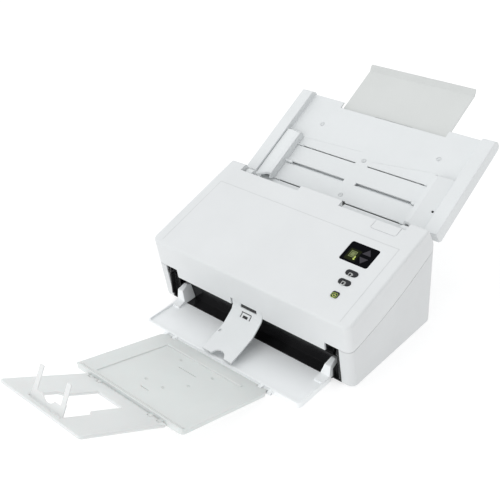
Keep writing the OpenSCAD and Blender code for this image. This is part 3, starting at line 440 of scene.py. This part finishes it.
def casing_block():
    """The whole casing as one rounded block with a slightly raised flat panel on its top."""
    half = CASE_HALF - SHRINK
    inset = EDGE_R + SHRINK
    turn = CORNER_R - EDGE_R
    points, normals = [], [(1, 0, 0), (-1, 0, 0), (0, 0, -1), (0, 1, 0)]
    corner = [math.radians(15 * k) for k in range(7)]
    stations = [(PANEL_HALF, 0.0)]
    stations += [(half - CORNER_R + turn * math.sin(a), turn * (1 - math.cos(a))) for a in corner]
    slope = math.tan(COVER_SLOPE)
    for x, dy in stations:
        drop = SIDE_DROP * max(0.0, x - PANEL_HALF) / (CASE_HALF - PANEL_HALF)
        top = lambda y, extra=0.0: (y, FRONT_HEIGHT + y * slope - drop - extra)
        rear_top = top(REAR_TOP_Y, REAR_DROP)
        lines = [line((0, 0), (1, 0), inset),
                 line((CASE_DEPTH, 0), (CASE_DEPTH, 1), inset + dy),
                 line(KNEE, rear_top, inset),
                 line(rear_top, top(PANEL_REAR), inset),
                 line(top(PANEL_REAR), top(0), inset),
                 line((0, FRONT_HEIGHT), (FRONT_LEAN, 0), inset + dy)]
        for k, current in enumerate(lines):
            y, z = meet(lines[k - 1], current)
            points += [CASE + Vector((sx * x, y, z)) for sx in (-1, 1)]
            normals.append((0, -current[0], -current[1]))
    return balls(points, EDGE_R, normals)


def shell(node):
    """A casing shell whose outer edges are rounded, cut from the CAD shell."""
    bm = common(mesh_of(node), casing_block())
    flatten(bm)
    stand_in(node + "_shell", bm, node)


# ---- softened plates ----
# the edge radius of each piece, in millimetres
ROUNDING = {"tray_bed": 0.7, "input_extension": 0.6, "output_tray": 0.8, "output_extension": 0.7,
            "outer_extension": 0.6, "paper_stop": 0.35, "exit_flap": 0.35, "release_tab": 0.3,
            "display_window": 0.4, "function_button": 0.45, "scan_button": 0.45,
            "power_button": 0.45, "up_key": 0.15, "down_key": 0.15, "rear_cover": 0.3,
            "exit_frame": 0.4, "upper_chute": 0.3, "lower_chute": 0.3, "tray_back": 0.4}


def crossings(bm):
    """Centres of faces that cut through each other, as bad bevels do."""
    tree = BVHTree.FromBMesh(bm, epsilon=0)
    bm.faces.ensure_lookup_table()
    found = []
    for a, b in tree.overlap(tree):
        if a < b and not set(bm.faces[a].verts) & set(bm.faces[b].verts):
            found.append(bm.faces[a].calc_center_median())
            found.append(bm.faces[b].calc_center_median())
    return found


def closest(point, a, b):
    """Distance from a point to the segment a-b."""
    along = b - a
    part = max(0.0, min(1.0, (point - a).dot(along) / max(along.length_squared, 1e-12)))
    return (a + along * part - point).length


def bevelled(node, width, segments, sharp, passes=7):
    """A copy of a CAD piece with rounded edges; edges with no room for the bevel stay sharp."""
    kept_sharp = []
    reach = 1.6 * width
    for _ in range(passes):
        bm = mesh_of(node)
        flatten(bm)
        edges = []
        for e in bm.edges:
            if e.is_manifold and e.calc_face_angle(0) >= math.radians(sharp):
                a, b = (v.co for v in e.verts)
                if all(closest(p, a, b) > reach for p in kept_sharp):
                    edges.append(e)
        bmesh.ops.bevel(bm, geom=edges, offset=width, offset_type="OFFSET", segments=segments,
                        profile=0.5, affect="EDGES", clamp_overlap=False)
        bad = crossings(bm)
        if not bad:
            return bm
        kept_sharp += bad
        bm.free()
    return None


def softened(node, width, segments=2, sharp=28):
    """Puts a piece with rounded edges in the place of a CAD piece."""
    for share in (1, 0.6, 0.35, 0.2):
        bm = bevelled(node, width * share * MM, segments, sharp)
        if bm:
            break
    else:
        bm = mesh_of(node)
    stand_in(node + "_soft", bm, node, 40)


for node in ("top_cover", "lower_case"):
    shell(node)
for node, width in ROUNDING.items():
    softened(node, width)


# ---- outlines and solids for small pieces, in millimetres ----
def box2(cx, cy, w, d):
    """A rectangle round its centre."""
    return [(cx - w / 2, cy - d / 2), (cx + w / 2, cy - d / 2),
            (cx + w / 2, cy + d / 2), (cx - w / 2, cy + d / 2)]


def rounded(cx, cy, w, d, r, steps=6):
    """A rectangle with rounded corners."""
    points = []
    for k, (sx, sy) in enumerate(((1, -1), (1, 1), (-1, 1), (-1, -1))):
        for i in range(steps + 1):
            a = math.radians(-90 + 90 * k + 90 * i / steps)
            points.append((cx + sx * (w / 2 - r) + r * math.cos(a),
                           cy + sy * (d / 2 - r) + r * math.sin(a)))
    return points


def arc(cx, cy, r, start, end, steps):
    """Points along an arc between two angles in degrees."""
    angles = [math.radians(start + (end - start) * i / steps) for i in range(steps + 1)]
    return [(cx + r * math.cos(a), cy + r * math.sin(a)) for a in angles]


def turned(points, angle, cx, cy):
    """An outline turned about (cx, cy) by angle degrees."""
    c, s = math.cos(math.radians(angle)), math.sin(math.radians(angle))
    return [(cx + (x - cx) * c - (y - cy) * s, cy + (x - cx) * s + (y - cy) * c)
            for x, y in points]


def sides(bm, loops):
    """Faces from each loop of vertices to the next."""
    for a, b in zip(loops, loops[1:]):
        for i in range(len(a)):
            j = (i + 1) % len(a)
            bm.faces.new((a[i], a[j], b[j], b[i]))


def skin(bm, loops):
    """A solid through loops of vertices, closed at both ends."""
    bm.faces.new(reversed(loops[0]))
    bm.faces.new(loops[-1])
    sides(bm, loops)


def prism(bm, outline, place, low, high):
    """A solid over an outline of (x, s) points, between two heights."""
    skin(bm, [[bm.verts.new(place(x, s, h)) for x, s in outline] for h in (low, high)])


def ring(bm, outside, inside, place, low, high):
    """A closed band between two outlines of equal length."""
    corners = ((outside, low), (outside, high), (inside, high), (inside, low))
    loops = [[bm.verts.new(place(x, s, h)) for x, s in outline] for outline, h in corners]
    sides(bm, loops + loops[:1])


def strip(bm, points, width, place, low, high):
    """A thin solid along each stretch of a line of (x, s) points."""
    for (ax, ay), (bx, by) in zip(points, points[1:]):
        length = math.hypot(bx - ax, by - ay)
        nx, ny = (ay - by) / length * width / 2, (bx - ax) / length * width / 2
        outline = [(ax - nx, ay - ny), (bx - nx, by - ny), (bx + nx, by + ny), (ax + nx, ay + ny)]
        prism(bm, outline, place, low, high)


def bead(bm, half, s, r, place, h):
    """A rounded bead across a tray, with a flat foot inside the tray."""
    profile = [(s + r * math.cos(math.radians(a)), h + r * math.sin(math.radians(a)))
               for a in range(-30, 211, 20)]
    ends = [[bm.verts.new(place(x, *point)) for point in profile] for x in (-half, half)]
    skin(bm, ends[::-1])


def sunk_band(bm, points, x0, x1, low, high):
    """A solid that follows (y, z) points of the flap, between two depths under its surface."""
    loops = []
    for k, (y, z) in enumerate(points):
        (ay, az), (by, bz) = points[max(k - 1, 0)], points[min(k + 1, len(points) - 1)]
        length = math.hypot(by - ay, bz - az)
        ny, nz = (bz - az) / length, (ay - by) / length
        loops.append([bm.verts.new(case(x, y + ny * d, z + nz * d))
                      for x, d in ((x0, low), (x1, low), (x1, high), (x0, high))])
    skin(bm, loops)


# ---- printed marks ----
INK, SINK = 0.06, 0.02  # how far ink stands above a surface and reaches below it
BUTTON_TOP = 0.9  # height of the buttons' crowns over the cover
ink_pale = printed("pale ink", (0.60, 0.61, 0.60))
ink_green = printed("green ink", (0.30, 0.42, 0.04), 0.3)
page_green = printed("dim glyph", (0.14, 0.17, 0.05), 0.15)
glyph_green = printed("lit glyph", (0.50, 0.60, 0.12), 0.35)


def button_marks():
    """Generic signs: a page with a bent stroke, a page with three lines, an on-off sign."""
    crown = (cover, BUTTON_TOP - SINK, BUTTON_TOP + INK)
    bent = ((1.6, -0.2, 3.0, 0.7, 40), (2.2, 1.2, 1.9, 0.7, 0))
    three = [(1.9, -1.5 + 1.5 * k, 2.0, 0.6, 0) for k in range(3)]
    for button, cx, cy, strokes in (("function_button", 114, 67, bent),
                                    ("scan_button", 114, 52.8, three)):
        bm = bmesh.new()
        page_x = cx - 0.6
        ring(bm, rounded(page_x, cy, 4.2, 5.4, 0.5), rounded(page_x, cy, 2.9, 4.1, 0.3), *crown)
        for dx, dy, w, d, angle in strokes:
            x, y = cx + dx, cy + dy
            prism(bm, turned(box2(x, y, w, d), angle, x, y), *crown)
        detail(button + "_sign", bm, button, "button_grey", ink_pale)
    cx, cy = 115, 33.5
    bm = bmesh.new()
    ring(bm, rounded(cx, cy, 7.6, 7.2, 2.0), rounded(cx, cy, 6.7, 6.3, 1.6), *crown)
    detail("power_ring", bm, "power_button", "button_grey", ink_green)
    bm = bmesh.new()
    prism(bm, arc(cx, cy - 0.2, 2.1, 125, 415, 20) + arc(cx, cy - 0.2, 1.5, 415, 125, 20), *crown)
    prism(bm, box2(cx, cy + 1.4, 0.6, 2.2), *crown)
    detail("power_sign", bm, "power_button", "button_grey", glyph_green)


def top_of(node, place):
    """Height of a node's highest point over a plane."""
    zero, up = place(0, 0, 0), place(0, 0, 1) - place(0, 0, 0)
    return max((v.co - zero).dot(up.normalized()) for v in frame["nodes"][node].data.vertices) / MM


def display_marks():
    """The lit area of the display, with a generic page and an arrow on it."""
    cx, cy = 98.2, 94.8
    top = top_of("display_window", cover)
    bm = bmesh.new()
    prism(bm, rounded(cx, cy, 15.5, 17.5, 0.6), cover, top - SINK, top + INK)
    t = Tree("liquid crystal")
    cells = t.add("TexBrick", {"offset": 0.0}, Vector=t.position, Scale=2600.0,
                  Mortar_Size=0.05)["Fac"]
    tone = t.mix(t.span(t.noise(120.0), 0, 1, 0.3, 0.7), (0.007, 0.010, 0.003, 1),
                 (0.022, 0.028, 0.006, 1))
    tone = t.mix(cells, tone, lit((0.018, 0.022, 0.005), 0.7))
    crystal = t.surface(Base_Color=tone, Roughness=0.2, Specular_IOR_Level=0.05)
    detail("display_lit_area", bm, "display_window", "lcd", crystal)
    low, high = top + INK - 0.01, top + 2 * INK
    page_x, page_y = cx - 0.6, cy + 1.0
    bm = bmesh.new()
    ring(bm, box2(page_x, page_y, 8.6, 9.8), box2(page_x, page_y, 6.4, 7.6), cover, low, high)
    prism(bm, box2(page_x, page_y, 5.0, 6.2), cover, low, high)
    detail("display_page", bm, "display_window", "lcd", page_green)
    arrow_x, stem_up = cx + 4.5, 0.03
    head = [(arrow_x - 1.5, cy - 6.2), (arrow_x + 1.5, cy - 6.2), (arrow_x, cy - 3.4)]
    bm = bmesh.new()
    prism(bm, head, cover, low, high)
    prism(bm, box2(arrow_x, cy - 2.2, 1.3, 2.6), cover, low + stem_up, high + stem_up)
    detail("display_glyph", bm, "display_window", "lcd", glyph_green)


# ---- small moulded pieces ----
def slot_floors():
    """What shows through the slots of the bed: a pale floor under the wide pair, a black strip of
    painted shade under the lowest pair, and a white cover that hides the strip from outside."""
    slot_row, slot_s, strip_s = 58, 75.6, 44.3
    t = Tree("thin tray plastic")
    tone = t.mix(t.noise(60.0), (0.60, 0.62, 0.63, 1), (0.66, 0.68, 0.69, 1))
    # the glow stands for the light that comes through the thin plastic
    glow = t.surface(Base_Color=tone, Roughness=0.5, Emission_Color=(0.94, 0.97, 1, 1),
                     Emission_Strength=0.28)
    bm = bmesh.new()
    for side in (-1, 1):
        prism(bm, box2(side * slot_row, slot_s, 98, 6.4), path, -6.3, -5.9)
    detail("slot_floor", bm, "tray_bed", "tray_white", glow)
    # painted shade: black plastic stands for the shade under the lowest slots
    bm = bmesh.new()
    prism(bm, rounded(0, strip_s, 214, 10, 1), path, -2.9, -2.45)
    # a six-sided black plug of painted shade that fills the notch in the lowest right slot
    prism(bm, arc(9.7, 44.2, 4.1, 0, 300, 5), path, -2.47, -0.35)
    detail("slot_painted_shade", bm, "tray_bed", "black_plastic")
    bm = bmesh.new()
    prism(bm, rounded(0, strip_s, 217, 12.5, 1), path, -3.4, -2.92)
    detail("slot_cover", bm, "tray_bed", "tray_white")


def guide_hole():
    """Black plastic at the bottom of the square hole in the right-hand guide, as painted shade."""
    bm = bmesh.new()
    prism(bm, box2(131.7, 71.9, 2.96, 2.96), path, 5.7, 6.9)
    detail("guide_hole_painted_shade", bm, "guide_right", "black_plastic")


def seam_tongue():
    """The inner lip of the lower casing, which shows in the gap under the cover."""
    inner, outer, half_height = 154.6, 155.45, 3
    seam = lambda y: 56.6 + 0.1703 * (y - 11.8) + 0.000954 * (y - 11.8) ** 2
    rows = [15 + 8 * k for k in range(20)]
    bm = bmesh.new()
    for x0, x1 in ((-outer, -inner), (inner, outer)):
        corners = ((x0, -half_height), (x1, -half_height), (x1, half_height), (x0, half_height))
        loops = [[bm.verts.new(case(x, y, seam(y) + dz)) for x, dz in corners] for y in rows]
        skin(bm, loops[::-1])
    detail("seam_tongue", bm, "lower_case", "casing_side", finish["casing"])


def screw_heads():
    """Cross-headed screws in the recesses of the paper bed."""
    head_r, cross_r, cross_half = 2.4, 2.2, 0.35
    bm = bmesh.new()
    for cx, cy in ((-94.3, 150.6), (94.3, 150.6), (0, 114.6), (0, 55.2)):
        prism(bm, arc(cx, cy, head_r, 0, 345, 23), path, -0.72, -0.45)
        for angle in (0, 90, 180, 270):
            quarter = [(cx + cross_half, cy + cross_half)] + arc(cx, cy, cross_r, 10, 80, 7)
            prism(bm, turned(quarter, angle, cx, cy), path, -0.46, -0.12)
    detail("bed_screw_heads", bm, "tray_bed", "tray_white")


def bed_lines():
    """Shallow ribs that mark the panels of the paper bed."""
    bm = bmesh.new()
    for points in ([(-104, 122), (-12, 127.1)], [(9, 116.1), (104, 129.3)]):
        strip(bm, points, 0.7, path, -0.05, 0.12)
    detail("bed_ribs", bm, "tray_bed", "tray_white")


def flap_insert():
    """The black insert in the window of the exit flap."""
    front = plane(case(0, 8.36, 0), Vector((0, 0, 1)), Vector((0, -1, 0)))
    bm = bmesh.new()
    prism(bm, rounded(2.5, 47.2, 25.6, 5.0, 0.6)[::-1], front, 0, 0.5)
    detail("flap_insert", bm, "exit_flap", "black_plastic")


def clip_inserts():
    """Black plastic just under the surface in the slits round the flap's snap clip."""
    depths = (0.3, 1.5)
    upright = [(0.38, 34.7), (2.4, 36.36), (4.4, 38), (5.0, 39.4), (5.45, 40.5)]
    bm = bmesh.new()
    for x0 in (-7.55, 7.05):
        sunk_band(bm, upright, x0, x0 + 1.3, *depths)
    sunk_band(bm, [(5.03, 39.45), (5.5, 40.6)], -6.2, 7.0, *depths)
    sunk_band(bm, [(0.6, 34.9), (3.3, 37.1)], -3.75, 3.95, *depths)
    detail("flap_clip_inserts", bm, "exit_flap", "black_plastic")


def cover_crease_shade():
    """Darker strips of painted shade along the fine moulded creases where the flat panel of the
    cover ends.
    """
    bm = bmesh.new()
    x, rear = PANEL_HALF / MM, PANEL_REAR / MM / math.cos(COVER_SLOPE)
    for points in ([(-x, 6), (-x, rear)], [(x, 6), (x, rear)], [(-x, rear), (x, rear)]):
        strip(bm, points, 0.8, cover, -0.05, 0.03)
    # painted shade: the strips are a darker copy of the casing white
    crease = moulded("painted crease shade", [c * 0.86 for c in WHITE], depth=0.2)
    detail("cover_crease_shade", bm, "top_cover", "casing", crease)


def extension_beads():
    """Beads along the rear of the recess and along the outer edge of the first extension."""
    bm = bmesh.new()
    bead(bm, 62, -21.2, 1.3, first, 3.5)
    bead(bm, 84, -136.5, 1.0, first, 3.5)
    detail("extension_beads", bm, "output_extension", "frosted")


button_marks()
display_marks()
slot_floors()
guide_hole()
seam_tongue()
screw_heads()
bed_lines()
flap_insert()
clip_inserts()
cover_crease_shade()
extension_beads()


# ---- stage ----
FLOOR_SIZE = 6.0
FLOOR_GLOW = 0.66
SKY_TILT = (-0.26, -0.03, 0.10)  # how the sky brightens along x, y and z
SKY_LEVEL = 0.84
LAMP_AIM = (0, 0, 0.05)
LENS = 60.262
VIEW_AZIMUTH, VIEW_ELEVATION, VIEW_ROLL = (math.radians(a) for a in (43.947, 32.993, -3.968))
VIEW_AIM = Vector((-50.70, 24.92, 81.83)) * MM
VIEW_DISTANCE = 1.0815


def floor():
    """A plain pale floor."""
    bm = bmesh.new()
    bmesh.ops.create_grid(bm, x_segments=1, y_segments=1, size=FLOOR_SIZE)
    t = Tree("floor")
    speck = t.noise(30.0, 3.0)
    tone = t.mix(speck, (0.40, 0.40, 0.40, 1), (0.42, 0.42, 0.42, 1))
    make("floor", bm, t.surface(Base_Color=tone, Roughness=0.8,
                                         Emission_Color=(1, 1, 1, 1),
                                         Emission_Strength=FLOOR_GLOW))


def area(name, at, size, power):
    """A rectangular lamp turned towards the object."""
    data = bpy.data.lights.new(name, "AREA")
    data.shape = "RECTANGLE"
    data.size, data.size_y = size
    data.energy = power
    lamp = bpy.data.objects.new(name, data)
    lamp.location = at
    lamp.rotation_euler = (Vector(LAMP_AIM) - Vector(at)).to_track_quat("-Z", "Y").to_euler()
    bpy.context.scene.collection.objects.link(lamp)


def studio():
    """A white surround, brighter overhead and to the left, with two soft lamps."""
    world = bpy.data.worlds.new("studio")
    world.use_nodes = True
    nodes, links = world.node_tree.nodes, world.node_tree.links
    direction = nodes.new("ShaderNodeTexCoord").outputs["Generated"]
    tilt = nodes.new("ShaderNodeVectorMath")
    tilt.operation = "DOT_PRODUCT"
    tilt.inputs[1].default_value = SKY_TILT
    links.new(direction, tilt.inputs[0])
    level = nodes.new("ShaderNodeMath")
    level.inputs[1].default_value = SKY_LEVEL
    links.new(tilt.outputs["Value"], level.inputs[0])
    links.new(level.outputs[0], nodes["Background"].inputs["Strength"])
    nodes["Background"].inputs["Color"].default_value = (0.985, 0.995, 1, 1)
    bpy.context.scene.world = world
    area("key", (-0.3, -0.3, 2.2), (1.6, 1.6), 4)
    area("fill", (0.1, -1.9, 0.8), (1.6, 1.2), 5)
    view = bpy.context.scene.view_settings
    view.view_transform = "Standard"
    view.look = "None"


def camera():
    """The photograph's view."""
    data = bpy.data.cameras.new("camera")
    data.lens = LENS
    data.clip_start, data.clip_end = 0.05, 20
    cam = bpy.data.objects.new("camera", data)
    back = Vector((math.sin(VIEW_AZIMUTH) * math.cos(VIEW_ELEVATION),
                   -math.cos(VIEW_AZIMUTH) * math.cos(VIEW_ELEVATION), math.sin(VIEW_ELEVATION)))
    cam.location = VIEW_AIM + back * VIEW_DISTANCE
    cam.rotation_mode = "QUATERNION"
    cam.rotation_quaternion = (
        (-back).to_track_quat("-Z", "Y") @ Quaternion((0, 0, 1), VIEW_ROLL))
    bpy.context.scene.collection.objects.link(cam)
    bpy.context.scene.camera = cam


floor()
studio()
camera()
